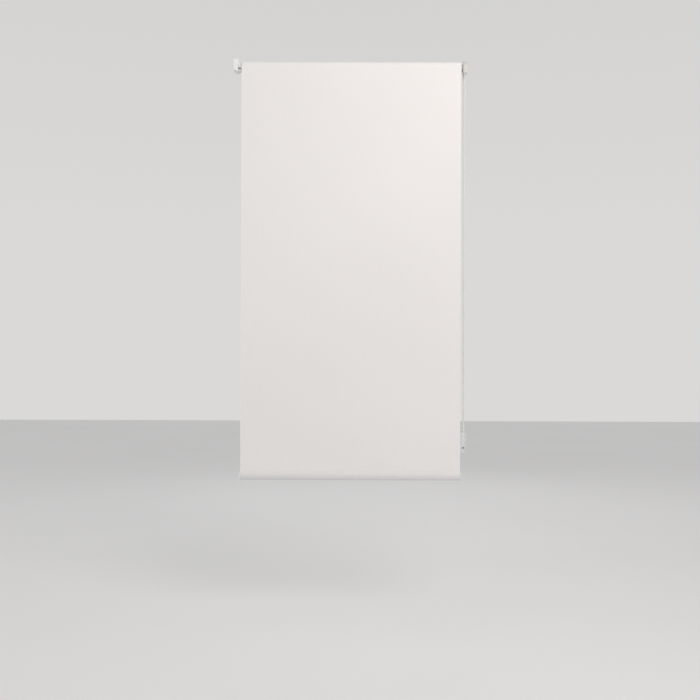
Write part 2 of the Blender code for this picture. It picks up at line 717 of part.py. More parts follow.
def make_drive_hub(axis, look):
    """The plug that turns the tube. A dog inside it sits between the ends of the springs."""
    hub = turned(
        "drive_hub",
        [
            (0.0, HUB_BORE),
            (0.0, FLANGE_RADIUS),
            (FLANGE, FLANGE_RADIUS),
            (FLANGE, BARREL_RADIUS),
            (HUB_LENGTH - PLUG_CHAMFER, BARREL_RADIUS),
            (HUB_LENGTH, BARREL_RADIUS - PLUG_CHAMFER),
            (HUB_LENGTH, SPINDLE_RADIUS + RUN),
            (HUB_LENGTH - 2 * FLANGE, SPINDLE_RADIUS + RUN),
            (HUB_LENGTH - 2 * FLANGE, HUB_BORE),
        ],
        look["grey plastic"],
    )
    fuse(hub, block("drive_hub.dog", (FLANGE, -DOG_HALF_WIDTH, SPRING_RADIUS + SPRING_WIRE),
                    (SLEEVE_LENGTH - DRIVE_GAP, DOG_HALF_WIDTH, HUB_BORE + HUB_WALL / 2)))
    cut_keyway(hub, FLANGE, HUB_LENGTH + PLUG_CHAMFER)
    place(smooth(hub), axis, (HUB_FLANGE_AT, 0.0, 0.0))


def hem_outline():
    """The hem's outer outline: round the bar, then drawn in along quarter cosines to a neck.

    The neck is in line with the sheet, so the front stays nearly flat and the back slopes.
    """
    half = HEM_DEPTH / 2
    shoulder = BAR_HEIGHT - half
    neck_front = HEM_MIDDLE - SHEET_PLANE - 2 * FABRIC_THICKNESS
    neck_back = HEM_MIDDLE - SHEET_PLANE + 2 * FABRIC_THICKNESS
    front = []
    back = []
    for step in range(5):
        share = step / 4
        up = shoulder + share * (HEM_HEIGHT - shoulder)
        fullness = math.cos(share * math.pi / 2)
        front.append((neck_front - (half + neck_front) * fullness, up))
        back.append((neck_back + (half - neck_back) * fullness, up))
    return arc(0.0, half, half, 180, 360, 16) + back + front[::-1]


def make_bottom_rail(rail, look):
    """The hem with its weighting bar and the bar's end caps. Its origin is the hem's low point."""
    length = FABRIC_END - FABRIC_START
    hem = walled("hem_pocket", hem_outline(), 0.0, length, FABRIC_THICKNESS, look["fabric"])
    place(hem, rail)

    clear = FABRIC_THICKNESS + TOUCH
    half = HEM_DEPTH / 2 - clear
    top = BAR_HEIGHT - clear
    corner = half - BAR_FLAT / 2
    bar = walled("bottom_bar", rounded_rectangle(-half, half, clear, top, corner, 6), 0.0, length,
                 BAR_WALL, look["aluminium"])
    place(bar, rail)

    inside = half - BAR_WALL - TOUCH
    tongue = rounded_rectangle(-inside, inside, clear + BAR_WALL + TOUCH, top - BAR_WALL - TOUCH,
                               inside * 0.6, 3)
    face = rounded_rectangle(-HEM_DEPTH / 2, HEM_DEPTH / 2, 0.0, HEM_HEIGHT - 2 * clear,
                             0.49 * HEM_DEPTH, 6)
    for label, near, out in (("left", -TOUCH, -1), ("right", length + TOUCH, 1)):
        ends = sorted((near, near + out * CAP_THICKNESS))
        cap = extruded(f"bar_end_cap_{label}", face, "x", *ends, look["white plastic"])
        rounded_edges(cap, CAP_EDGE)
        ends = sorted((near + out * CAP_THICKNESS / 2, near - out * CAP_TONGUE))
        fuse(cap, extruded(f"bar_end_cap_{label}.tongue", tongue, "x", *ends))
        place(cap, rail)


def make_hanging_fabric(look):
    """The stretch of fabric from the front of the roll down to the hem."""
    block("hanging_fabric", (FABRIC_START, -SHEET_BACK - FABRIC_THICKNESS, HEM_TOP + TOUCH),
          (FABRIC_END, -SHEET_BACK, 0.0), look["fabric"])


def strand_lean():
    """Angle off the vertical of the chain's two straight strands, in radians."""
    return math.asin((PITCH_RADIUS - LOWER_TURN) / CHAIN_DROP)


def strand_offset(height):
    """Distance in Y from the middle of the loop to a strand's centre at a height below the axis."""
    lean = strand_lean()
    return PITCH_RADIUS / math.cos(lean) + height * math.tan(lean)


def make_chain(drive, look):
    """The closed loop over the wheel and round the lower turn, as a plain cord."""
    lean = math.degrees(strand_lean())
    over = arc(0.0, 0.0, PITCH_RADIUS, -lean, 180 + lean, 24)
    under = arc(0.0, -CHAIN_DROP, LOWER_TURN, 180 + lean, 360 - lean, 16)
    down = [(-strand_offset(-CHAIN_DROP * n / 6), -CHAIN_DROP * n / 6) for n in range(1, 6)]
    up = [(-across, height) for across, height in reversed(down)]
    route = [(0.0, across, height) for across, height in over + down + under + up]
    chain = tube_along("bead_chain", route, CORD, look["white plastic"], closed=True)
    place(chain, drive, (CHAIN_IN, 0.0, 0.0))


def make_chain_fittings(look):
    """The stop on the back strand and the connector on the front one, each along its strand."""
    lean = strand_lean()
    hole = CORD / 2 + TOUCH
    x = OVERALL_WIDTH - CHAIN_IN

    top = -GUARD_LOW - TOUCH - STOP_LENGTH / 2
    half = STOP_LENGTH / 2
    belly = arc(0.0, 0.0, 1.0, 150, 30, 8)
    reach = belly[-1][0]
    outline = [(half * across / reach, STOP_RADIUS * up) for across, up in belly]
    stop = turned("chain_stop", outline + [(half, hole), (-half, hole)], look["white plastic"], 24)
    stop.rotation_mode = "QUATERNION"
    along = Vector((0.0, math.sin(lean), math.cos(lean)))
    stop.rotation_quaternion = Vector((1.0, 0.0, 0.0)).rotation_difference(along)
    place(stop, None, (x, strand_offset(top), top))

    height = CONNECTOR_ABOVE_TURN - CHAIN_DROP
    half = CONNECTOR_LENGTH / 2
    waist = 0.82 * CONNECTOR_RADIUS
    end = 0.7 * CONNECTOR_RADIUS
    connector = turned(
        "chain_connector",
        [
            (-half, hole),
            (-half, end),
            (-0.8 * half, CONNECTOR_RADIUS),
            (-0.25 * half, CONNECTOR_RADIUS),
            (-0.1 * half, waist),
            (0.1 * half, waist),
            (0.25 * half, CONNECTOR_RADIUS),
            (0.8 * half, CONNECTOR_RADIUS),
            (half, end),
            (half, hole),
        ],
        look["white plastic"],
        24,
    )
    connector.rotation_mode = "QUATERNION"
    along = Vector((0.0, -math.sin(lean), math.cos(lean)))
    connector.rotation_quaternion = Vector((1.0, 0.0, 0.0)).rotation_difference(along)
    place(connector, None, (x, -strand_offset(height), height))


def make_tidy(drive, look):
    """The safety device: a plate on the wall, and a body round the chain's lower turn."""
    room = TIDY_HALF_DEPTH - SHELL
    tongue_top = CHAIN_DROP + LOWER_TURN + BEAD + 1.5 * SHELL
    tongue_low = TIDY_BOTTOM - 3 * SHELL
    tongue_end = LOCK_SCREW_IN + 2.5 * LOCK_SCREW
    plate = extruded(
        "tidy_backplate",
        rounded_rectangle(-room, room, -TIDY_BOTTOM + SHELL, -TIDY_TOP - SHELL, PLATE_CORNER),
        "x", 0.0, PLATE, look["white plastic"],
    )
    fuse(plate, block("tidy_backplate.tongue", (PLATE / 2, -TONGUE / 2, -tongue_low),
                      (tongue_end, TONGUE / 2, -tongue_top)))
    cut(plate, rod("tidy_backplate.lock", LOCK_SCREW + TOUCH, -TONGUE, TONGUE, "y",
                   (LOCK_SCREW_IN, -LOCK_SCREW_DROP)))
    for side in (-1, 1):
        middle = (side * room / 2, -TIDY_TOP - 5 * SHELL)
        cut(plate, rod(f"tidy_backplate.screw{side}", WALL_SCREW_HOLE, -PLATE, 2 * PLATE, "x", middle))
    place(smooth(plate), drive)

    start = PLATE + TOUCH
    side = (
        [(start, -TIDY_BOTTOM)]
        + arc(TIDY_WIDTH - 2 * SHELL, 2 * SHELL - TIDY_BOTTOM, 2 * SHELL, 270, 360, 3)
        + arc(TIDY_WIDTH - TIDY_SHOULDER, -TIDY_TOP - TIDY_SHOULDER, TIDY_SHOULDER, 0, 90, 8)
        + [(start, -TIDY_TOP)]
    )
    body = extruded("tidy_body", side, "y", -TIDY_HALF_DEPTH, TIDY_HALF_DEPTH,
                    look["white plastic"])
    rounded_edges(body, TIDY_EDGE)
    reach = LOWER_TURN + BEAD / 2 + 1.25 * RUN
    cavity = arc(0.0, -CHAIN_DROP, reach, 180, 360, 20) + [
        (reach, PLATE - TIDY_TOP), (-reach, PLATE - TIDY_TOP)
    ]
    floor = CHAIN_IN + BEAD / 2 + RUN
    cut(body, extruded("tidy_body.cavity", cavity, "x", 0.0, floor))
    boss = LOWER_TURN - BEAD / 2 - RUN
    fuse(body, rod("tidy_body.boss", boss, start, floor + SHELL, "x", (0.0, -CHAIN_DROP), 32))
    cut(body, block("tidy_body.slot", (0.0, -TONGUE / 2 - TOUCH, -tongue_low - TOUCH),
                    (tongue_end + TOUCH, TONGUE / 2 + TOUCH, -tongue_top + TOUCH)))
    centre = (LOCK_SCREW_IN, -LOCK_SCREW_DROP)
    head = 2.1 * LOCK_SCREW
    back = -TIDY_HALF_DEPTH / 2
    face = TIDY_HALF_DEPTH
    cut(body, rod("tidy_body.lock", LOCK_SCREW + TOUCH, back - TOUCH, 2 * face, "y", centre))
    cut(body, rod("tidy_body.head", head + TOUCH, face - LOCK_SCREW_SUNK, 2 * face, "y", centre))
    place(body, drive)

    under_head = face - LOCK_SCREW_SUNK + TOUCH
    length = under_head - back
    screw = turned(
        "tidy_lock_screw",
        [
            (-LOCK_SCREW_HEAD_HEIGHT, 0.0),
            (-LOCK_SCREW_HEAD_HEIGHT, 0.8 * head),
            (-0.75 * LOCK_SCREW_HEAD_HEIGHT, head),
            (0.0, head),
            (0.0, LOCK_SCREW),
            (length, LOCK_SCREW),
            (length, 0.0),
        ],
        look["steel"],
        24,
    )
    cross_recess(screw, -LOCK_SCREW_HEAD_HEIGHT, 0.6 * head, 0.5 * LOCK_SCREW_HEAD_HEIGHT, 1)
    screw.rotation_euler.z = -math.pi / 2
    place(screw, drive, (LOCK_SCREW_IN, under_head, -LOCK_SCREW_DROP))


def make_blind():
    clear_scene()
    look = {
        "fabric": finish("woven blind fabric", (0.80, 0.76, 0.73), 0.9),
        "aluminium": finish("extruded aluminium", (0.75, 0.75, 0.76), 0.35, 1.0),
        "painted steel": finish("white painted steel", (0.82, 0.81, 0.79), 0.4),
        "white plastic": finish("white moulded plastic", (0.84, 0.83, 0.81), 0.35),
        "plastic": finish("extruded plastic", (0.78, 0.77, 0.75), 0.5),
        "grey plastic": finish("grey moulded plastic", (0.30, 0.30, 0.31), 0.5),
        "steel": finish("plated steel", (0.62, 0.62, 0.63), 0.3, 1.0),
    }
    roller = add_empty("roller_axis", (0.0, 0.0, 0.0))
    drive = add_empty("drive_axis", (OVERALL_WIDTH, 0.0, 0.0), turned_round=True)
    rail = add_empty("rail_carriage", (FABRIC_START, -HEM_MIDDLE, -DROP))

    make_roller(roller, look)
    make_idle_plug(roller, look)
    make_idle_pin(roller, look)
    make_left_bracket(look)
    make_right_bracket(drive, look)
    make_spindle(drive, look)
    make_guard(drive, look)
    make_chain_wheel(drive, look)
    make_brake_springs(drive, look)
    make_drive_hub(drive, look)
    make_bottom_rail(rail, look)
    make_hanging_fabric(look)
    make_chain(drive, look)
    make_chain_fittings(look)
    make_tidy(drive, look)


make_blind()
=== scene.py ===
import json
import math

import bpy
import numpy as np
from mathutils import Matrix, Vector


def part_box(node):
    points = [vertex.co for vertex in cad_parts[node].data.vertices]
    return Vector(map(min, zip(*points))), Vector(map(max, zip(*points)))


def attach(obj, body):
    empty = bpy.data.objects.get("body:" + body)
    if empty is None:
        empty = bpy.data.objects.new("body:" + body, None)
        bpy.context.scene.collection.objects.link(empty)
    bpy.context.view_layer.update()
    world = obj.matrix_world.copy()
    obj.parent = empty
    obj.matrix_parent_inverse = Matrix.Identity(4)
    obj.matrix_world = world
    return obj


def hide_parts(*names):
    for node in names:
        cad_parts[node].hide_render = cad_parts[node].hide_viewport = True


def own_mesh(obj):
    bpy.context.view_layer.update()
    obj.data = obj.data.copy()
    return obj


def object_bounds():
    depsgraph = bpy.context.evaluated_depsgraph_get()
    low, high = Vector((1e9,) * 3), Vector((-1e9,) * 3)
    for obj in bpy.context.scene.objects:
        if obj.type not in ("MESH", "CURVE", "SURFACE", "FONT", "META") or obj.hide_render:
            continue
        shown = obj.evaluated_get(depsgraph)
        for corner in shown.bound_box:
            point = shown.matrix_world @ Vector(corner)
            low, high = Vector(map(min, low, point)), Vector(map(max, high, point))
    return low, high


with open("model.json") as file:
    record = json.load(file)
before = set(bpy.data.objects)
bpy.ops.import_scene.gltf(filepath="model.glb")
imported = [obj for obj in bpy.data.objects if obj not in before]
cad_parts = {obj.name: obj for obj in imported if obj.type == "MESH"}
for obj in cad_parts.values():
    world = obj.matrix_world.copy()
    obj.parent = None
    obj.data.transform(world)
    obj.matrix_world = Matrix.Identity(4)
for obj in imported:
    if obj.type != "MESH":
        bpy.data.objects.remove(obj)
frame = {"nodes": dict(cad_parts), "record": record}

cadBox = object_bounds()
mm = 0.001


# Materials: helpers that they share

def linear(hexColour):
    # sRGB hex to the linear colour that a shader socket wants
    parts = [int(hexColour[i:i + 2], 16) / 255 for i in (1, 3, 5)]
    return [c / 12.92 if c <= 0.04045 else ((c + 0.055) / 1.055) ** 2.4 for c in parts]


def opaque(hexColour):
    return (*linear(hexColour), 1.0)


def addNode(material, kind, links=None, **settings):
    # One shader node, with its settings. A link is a socket's name or number and what feeds it.
    made = material.node_tree.nodes.new(kind)
    for name, value in settings.items():
        if name in made.inputs:
            made.inputs[name].default_value = value
        else:
            setattr(made, name, value)
    for name, source in (links or {}).items():
        material.node_tree.links.new(source, made.inputs[name])
    return made


def startMaterial(name, colour, roughness, **settings):
    # A material whose Principled shader has the given sockets set
    material = bpy.data.materials.new(name)
    material.use_nodes = True
    shader = material.node_tree.nodes["Principled BSDF"]
    shader.inputs["Base Color"].default_value = opaque(colour)
    shader.inputs["Roughness"].default_value = roughness
    for socket, value in settings.items():
        shader.inputs[socket].default_value = value
    return material, shader


def noisePatterns(material, *patterns, stretch=(1.0, 1.0, 1.0)):
    # Noises on Object coordinates in metres. Each is (distance between its features, detail).
    point = addNode(material, "ShaderNodeTexCoord")
    placed = addNode(material, "ShaderNodeMapping", {"Vector": point.outputs["Object"]}, Scale=stretch)
    return [
        addNode(material, "ShaderNodeTexNoise", {"Vector": placed.outputs["Vector"]},
                Scale=1.0 / spacing, Detail=detail).outputs["Fac"]
        for spacing, detail in patterns
    ]


def finishSurface(material, shader, tint, relief, look):
    # The tint pattern runs the colour from dark to light, and the roughness if it has a range. The
    # relief pattern raises the surface by the look's depth.
    link = material.node_tree.links.new
    ramp = addNode(material, "ShaderNodeValToRGB", {"Fac": tint})
    ends = zip(ramp.color_ramp.elements, look.get("contrast", (0.35, 0.65)), ("dark", "light"))
    for element, position, shade in ends:
        element.position = position
        element.color = opaque(look[shade])
    link(ramp.outputs["Color"], shader.inputs["Base Color"])
    if "roughness" in look:
        low, high = look["roughness"]
        spread = addNode(material, "ShaderNodeMapRange", {"Value": tint}, **{"To Min": low, "To Max": high})
        link(spread.outputs["Result"], shader.inputs["Roughness"])
    if relief:
        bump = addNode(material, "ShaderNodeBump", {"Height": relief},
                       Strength=look["strength"], Distance=look["depth"])
        link(bump.outputs["Normal"], shader.inputs["Normal"])


def waveScale(spacing):
    # A Wave texture's Scale for bands that lie one spacing apart, in metres
    return math.pi / (10 * spacing)


# Materials, each named for its real finish or for the painted shade that it carries

def makeBlindFabric(name, dark, light):
    # Closely woven polyester with a foam back: matt, faintly ribbed, with a soft sheen at low angles.
    # The pattern follows the cloth's own UV map, in metres across and along it. Threads are drawn
    # 0.7 mm apart, about twice the real spacing, so that they show at all.
    weaving = {
        "thread": 0.7 * mm, "slub": 3.0 * mm, "slubDetail": 4.0, "slubStretch": (1.0, 0.06, 1.0),
        "drift": 400 * mm, "driftDetail": 1.0, "slubShare": 0.35,
    }
    look = {"dark": dark, "light": light, "contrast": (0.3, 0.7), "depth": 0.04 * mm, "strength": 0.4}
    material, shader = startMaterial(name, light, roughness=0.88, **{
        "IOR": 1.46, "Specular IOR Level": 0.3, "Sheen Weight": 0.08, "Sheen Roughness": 0.5})
    laid = addNode(material, "ShaderNodeUVMap", uv_map="cloth").outputs["UV"]
    flat = addNode(material, "ShaderNodeMapping", {"Vector": laid}).outputs["Vector"]
    drawn = addNode(material, "ShaderNodeMapping", {"Vector": laid}, Scale=weaving["slubStretch"])
    warp, weft = (
        addNode(material, "ShaderNodeTexWave", {"Vector": flat}, wave_type="BANDS",
                bands_direction=direction, wave_profile="SIN", Scale=waveScale(weaving["thread"]),
                Distortion=0.0).outputs["Fac"]
        for direction in ("X", "Y")
    )
    weave = addNode(material, "ShaderNodeMath", {0: warp, 1: weft}, operation="MULTIPLY")
    slubs = addNode(material, "ShaderNodeTexNoise", {"Vector": drawn.outputs["Vector"]},
                    Scale=1.0 / weaving["slub"], Detail=weaving["slubDetail"])
    drift = addNode(material, "ShaderNodeTexNoise", {"Vector": flat},
                    Scale=1.0 / weaving["drift"], Detail=weaving["driftDetail"])
    shade = addNode(material, "ShaderNodeMix", {2: drift.outputs["Fac"], 3: slubs.outputs["Fac"]})
    shade.inputs[0].default_value = weaving["slubShare"]
    finishSurface(material, shader, shade.outputs[0], weave.outputs["Value"], look)
    return material


def makeHemFabricWithPaintedShade(seamHeight, foldHeight):
    # The same cloth doubled round the bar, with painted shade: its colour is multiplied from the sheet's own
    # colour at the seam to a cool grey at the fold. The shade stands for less window light coming through
    # towards the fold and for the fold turning away from the light.
    material = makeBlindFabric("doubled blind fabric with painted shade", *sheetColours)
    socket = material.node_tree.nodes["Principled BSDF"].inputs["Base Color"]
    point = addNode(material, "ShaderNodeTexCoord")
    parts = addNode(material, "ShaderNodeSeparateXYZ", {"Vector": point.outputs["Object"]})
    # Painted shade: from the seam down to the fold the colour is multiplied more and more by a cool grey
    fade = addNode(material, "ShaderNodeMapRange", {"Value": parts.outputs["Z"]},
                   **{"From Min": seamHeight, "From Max": foldHeight})
    shade = addNode(material, "ShaderNodeMix", {0: fade.outputs["Result"], 6: socket.links[0].from_socket},
                    data_type="RGBA", blend_type="MULTIPLY")
    shade.inputs[7].default_value = opaque("#e3e5e8")
    material.node_tree.links.new(shade.outputs[2], socket)
    return material


def makeMouldedPlastic(name, light, dark, roughness=0.34):
    # Injection moulded plastic from a finely spark-eroded tool: satin, with a slight orange peel
    moulding = {"grain": 0.5 * mm, "grainDetail": 2.0, "flow": 20 * mm, "flowDetail": 3.0,
                "smoother": 0.05, "rougher": 0.08}
    look = {"dark": dark, "light": light, "depth": 0.02 * mm, "strength": 0.35,
            "roughness": (roughness - moulding["smoother"], roughness + moulding["rougher"])}
    material, shader = startMaterial(name, light, roughness, IOR=1.53)
    grain, flow = noisePatterns(material, (moulding["grain"], moulding["grainDetail"]),
                                (moulding["flow"], moulding["flowDetail"]))
    finishSurface(material, shader, flow, grain, look)
    return material


def makePowderCoat():
    # White powder coat on pressed steel: a glossy skin with a coarser orange peel than plastic
    coating = {"peel": 1.4 * mm, "peelDetail": 2.0, "cloud": 25 * mm, "cloudDetail": 3.0}
    look = {"dark": "#e5e4e2", "light": "#eeedeb", "depth": 0.05 * mm, "strength": 0.4}
    material, shader = startMaterial("white powder coat", "#ebeae8", roughness=0.38, **{
        "Coat Weight": 0.15, "Coat Roughness": 0.2})
    peel, cloud = noisePatterns(material, (coating["peel"], coating["peelDetail"]),
                                (coating["cloud"], coating["cloudDetail"]))
    finishSurface(material, shader, cloud, peel, look)
    return material


def makeExtrudedAluminium():
    # Mill finish aluminium: fine die lines run the whole length of the tube and the bar
    drawing = {"line": 0.6 * mm, "detail": 4.0, "stretch": (0.02, 1.0, 1.0)}
    look = {"dark": "#b9babd", "light": "#d2d3d5", "roughness": (0.26, 0.46), "depth": 0.01 * mm,
            "strength": 0.4}
    material, shader = startMaterial("extruded aluminium", "#c9cacc", roughness=0.34, Metallic=1.0)
    lines, = noisePatterns(material, (drawing["line"], drawing["detail"]), stretch=drawing["stretch"])
    finishSurface(material, shader, lines, lines, look)
    return material


def makeZincPlate():
    # Bright zinc on steel wire and screws: slightly cloudy, with a cool tint
    plating = {"cloud": 3 * mm, "grain": 0.4 * mm, "detail": 3.0}
    look = {"dark": "#a7abb0", "light": "#c6c9cc", "roughness": (0.2, 0.4), "depth": 0.01 * mm,
            "strength": 0.3}
    material, shader = startMaterial("zinc plated steel", "#b9bcc0", roughness=0.28, Metallic=1.0)
    cloud, grain = noisePatterns(material, (plating["cloud"], plating["detail"]),
                                 (plating["grain"], plating["detail"]))
    finishSurface(material, shader, cloud, grain, look)
    return material


def makeThread():
    # Spun polyester thread: its twist shows as slanted ridges
    spinning = {"twist": 0.4 * mm}
    look = {"dark": "#dcd7d1", "light": "#eeeae5", "depth": 0.05 * mm, "strength": 0.5}
    material, shader = startMaterial("spun polyester thread", "#e9e5e0", roughness=0.8,
                                     **{"Sheen Weight": 0.2})
    point = addNode(material, "ShaderNodeTexCoord")
    twist = addNode(material, "ShaderNodeTexWave", {"Vector": point.outputs["Object"]},
                    wave_type="BANDS", bands_direction="DIAGONAL", Scale=waveScale(spinning["twist"]))
    finishSurface(material, shader, twist.outputs["Fac"], twist.outputs["Fac"], look)
    return material


sheetColours = ("#edeae8", "#f1eeec")
finishes = {
    "blind_fabric": makeBlindFabric("woven blind fabric", *sheetColours),
    "painted_steel": makePowderCoat(),
    "white_plastic": makeMouldedPlastic("moulded ABS", "#eff0f1", "#eaebec"),
    "chain_plastic": makeMouldedPlastic("acetal beads", "#efeeec", "#e7e6e3", roughness=0.26),
    "grey_plastic": makeMouldedPlastic("glass filled nylon", "#b9b9ba", "#aeaeb0", roughness=0.5),
    "spline_plastic": makeMouldedPlastic("extruded PVC", "#e6e3df", "#dfdcd7", roughness=0.42),
    "plated_steel": makeZincPlate(),
    "extruded_aluminium": makeExtrudedAluminium(),
}
threadFinish = makeThread()
# Painted shade: the guard and the safety device are white mouldings greyed to stand for the shade of a window
# recess's corner beside them; the drive hub takes the safety device's pale grey in place of its grey nylon,
# which lifts it in the shaded gap beside the roll
guardPlastic = makeMouldedPlastic("white ABS greyed with painted shade", "#d0cfcc", "#c9c8c5")
tidyPlastic = makeMouldedPlastic("pale grey ABS for painted shade and lift", "#e0e1e2", "#d9dadb")
ownFinish = {
    "chain_guard": guardPlastic, "tidy_body": tidyPlastic, "tidy_backplate": tidyPlastic,
    "drive_hub": tidyPlastic,
}
print("materials made")


# Surfaces worked out as whole arrays

def smoothByAngle():
    # Points are merged, then edges that turn by more than a crease's angle stay sharp
    crease = {"angle": 32, "merge": 0.004 * mm}
    group = bpy.data.node_groups.new("smooth_by_angle", "GeometryNodeTree")
    group.interface.new_socket("Geometry", in_out="INPUT", socket_type="NodeSocketGeometry")
    group.interface.new_socket("Geometry", in_out="OUTPUT", socket_type="NodeSocketGeometry")
    made = group.nodes.new
    start, end = made("NodeGroupInput"), made("NodeGroupOutput")
    merge, turned = made("GeometryNodeMergeByDistance"), made("GeometryNodeInputMeshEdgeAngle")
    gentle = made("FunctionNodeCompare")
    faces, edges = made("GeometryNodeSetShadeSmooth"), made("GeometryNodeSetShadeSmooth")
    merge.inputs["Distance"].default_value = crease["merge"]
    gentle.operation = "LESS_THAN"
    gentle.inputs["B"].default_value = math.radians(crease["angle"])
    faces.domain, edges.domain = "FACE", "EDGE"
    for source, target in (
        (start.outputs[0], merge.inputs["Geometry"]), (merge.outputs[0], faces.inputs["Geometry"]),
        (faces.outputs[0], edges.inputs["Geometry"]), (edges.outputs[0], end.inputs[0]),
        (turned.outputs["Unsigned Angle"], gentle.inputs["A"]),
        (gentle.outputs[0], edges.inputs["Shade Smooth"]),
    ):
        group.links.new(source, target)
    return group


smoothing = smoothByAngle()
pieceCrease = math.radians(40)


def addPiece(name, points, faces, slot, finish=None):
    # A new mesh object with the slot's finish, or with one of its own
    mesh = bpy.data.meshes.new(name)
    mesh.from_pydata(np.asarray(points, float).tolist(), [], faces)
    mesh.update()
    mesh.shade_smooth()
    mesh.set_sharp_from_angle(angle=pieceCrease)
    mesh.materials.append(finish or finishes[slot])
    piece = bpy.data.objects.new(name, mesh)
    bpy.context.scene.collection.objects.link(piece)
    return piece


def pointsOf(mesh):
    # Every point of a mesh, as rows of x, y, z
    points = np.zeros(len(mesh.vertices) * 3)
    mesh.vertices.foreach_get("co", points)
    return points.reshape(-1, 3)


def outward(piece):
    # A closed surface whose faces all agree is turned so that its volume counts as positive. The
    # volume is the sum, over its triangles, of one corner dotted with the cross of the other two.
    mesh = piece.data
    mesh.calc_loop_triangles()
    corners = np.zeros(len(mesh.loop_triangles) * 3, np.int32)
    mesh.loop_triangles.foreach_get("vertices", corners)
    first, second, third = pointsOf(mesh)[corners.reshape(-1, 3)].transpose(1, 0, 2)
    if np.einsum("ij,ij->i", first, np.cross(second, third)).sum() < 0:
        mesh.flip_normals()
    return piece


def gridFaces(rows, columns, closeRows=False, closeColumns=False):
    # Quads of a grid whose point number is row * columns + column, with its ends joined if asked
    r, c = np.meshgrid(np.arange(rows if closeRows else rows - 1),
                       np.arange(columns if closeColumns else columns - 1), indexing="ij")
    below, beside = (r + 1) % rows, (c + 1) % columns
    corners = [r * columns + c, r * columns + beside, below * columns + beside, below * columns + c]
    return np.stack(corners, axis=-1).reshape(-1, 4).tolist()


def capped(rows, columns):
    # Faces of an open tube with both of its ends filled
    return gridFaces(rows, columns, closeColumns=True) + [
        list(range(columns))[::-1], list(range((rows - 1) * columns, rows * columns))
    ]


def repeated(faces, pointsEach, copies):
    # The same faces for each copy of a shape, whose points follow those of the copy before it
    return [[pointsEach * copy + i for i in face] for copy in copies for face in faces]


def around(sides):
    # Angles once round a circle, without the last one that would meet the first
    return np.linspace(0, 2 * np.pi, sides, endpoint=False)


def ringProfile(outline, sides):
    # A closed outline of (x, radius) turned about X: each point's circle is one row of the grid
    turn = around(sides)
    x, radius = np.array(outline).T
    return np.stack([
        np.repeat(x[:, None], sides, axis=1),
        radius[:, None] * np.cos(turn),
        radius[:, None] * np.sin(turn),
    ], axis=-1).reshape(-1, 3)


def sweep(path, radius, sides, closed=False):
    # A round tube along a path that lies, or coils, across X: a circle square to the path's own
    # direction, drawn from the part of +X that is square to it
    path = np.asarray(path, float)
    ahead = np.roll(path, -1, axis=0) - np.roll(path, 1, axis=0)
    if not closed:
        ahead[0] = path[1] - path[0]
        ahead[-1] = path[-1] - path[-2]
    ahead /= np.linalg.norm(ahead, axis=1)[:, None]
    side = np.array([1.0, 0.0, 0.0]) - ahead[:, :1] * ahead
    side /= np.linalg.norm(side, axis=1)[:, None]
    up = np.cross(ahead, side)
    turn = around(sides)[:, None]
    circle = side[:, None] * np.cos(turn) + up[:, None] * np.sin(turn)
    return (path[:, None] + radius * circle).reshape(-1, 3)


def thicken(piece, thickness):
    # Equal parts on both sides of the surface, with crisp cut edges
    wall = piece.modifiers.new("thickness", "SOLIDIFY")
    wall.thickness = thickness
    wall.offset = 0.0
    piece.modifiers.new("smooth by angle", "NODES").node_group = smoothing


def layCloth(piece, across, along):
    # The cloth's own UV map: metres across it and metres along it, at every point
    layer = piece.data.uv_layers.new(name="cloth")
    corners = np.zeros(len(piece.data.loops), np.int32)
    piece.data.loops.foreach_get("vertex_index", corners)
    place = np.stack([np.ravel(across)[corners], np.ravel(along)[corners]], axis=-1)
    layer.data.foreach_set("uv", place.astype(np.float32).ravel())


# The frame's own measures, which every new piece is worked out from

clothLow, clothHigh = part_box("hanging_fabric")
hemLow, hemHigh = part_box("hem_pocket")
chainLow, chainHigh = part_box("bead_chain")
sheetPlane = (clothLow.y + clothHigh.y) / 2
clothThickness = clothHigh.y - clothLow.y


def makeHangingCloth():
    # The stretch from the front of the roll to the hem. It hangs flat, apart from two shallow sine
    # waves across it, and sides that curl back a little and straighten exponentially inwards. Both
    # are multiplied by a power of the sine of the fall, so they die out at the roll and at the bar.
    drape = {
        "waves": ((0.33, 0.3 * mm, 0.6), (0.21, 0.12 * mm, 2.1)),  # length, height, phase
        "twist": 1.3, "freedom": 0.8, "curl": 0.5 * mm, "curlWidth": 9 * mm, "columns": 181, "rows": 141,
    }
    x = np.linspace(clothLow.x, clothHigh.x, drape["columns"])[None, :]
    z = np.linspace(clothHigh.z, clothLow.z, drape["rows"])[:, None]
    fall = (clothHigh.z - z) / (clothHigh.z - clothLow.z)
    free = np.sin(np.pi * fall) ** drape["freedom"]
    fromEdge = np.minimum(x - clothLow.x, clothHigh.x - x)
    lift = -drape["curl"] * np.exp(-fromEdge / drape["curlWidth"]) * free
    for length, height, phase in drape["waves"]:
        lift = lift + height * np.sin(2 * np.pi * x / length + phase + drape["twist"] * fall) * free
    points = np.stack(np.broadcast_arrays(x, sheetPlane + lift, z), axis=-1).reshape(-1, 3)
    across, along = np.broadcast_arrays(x, z)
    cloth = addPiece("hanging_cloth", points, gridFaces(drape["rows"], drape["columns"]), "blind_fabric")
    layCloth(cloth, across, -along)
    thicken(cloth, clothThickness)
    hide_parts("hanging_fabric")
    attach(cloth, "mountings")
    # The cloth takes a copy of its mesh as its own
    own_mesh(cloth)
    return cloth


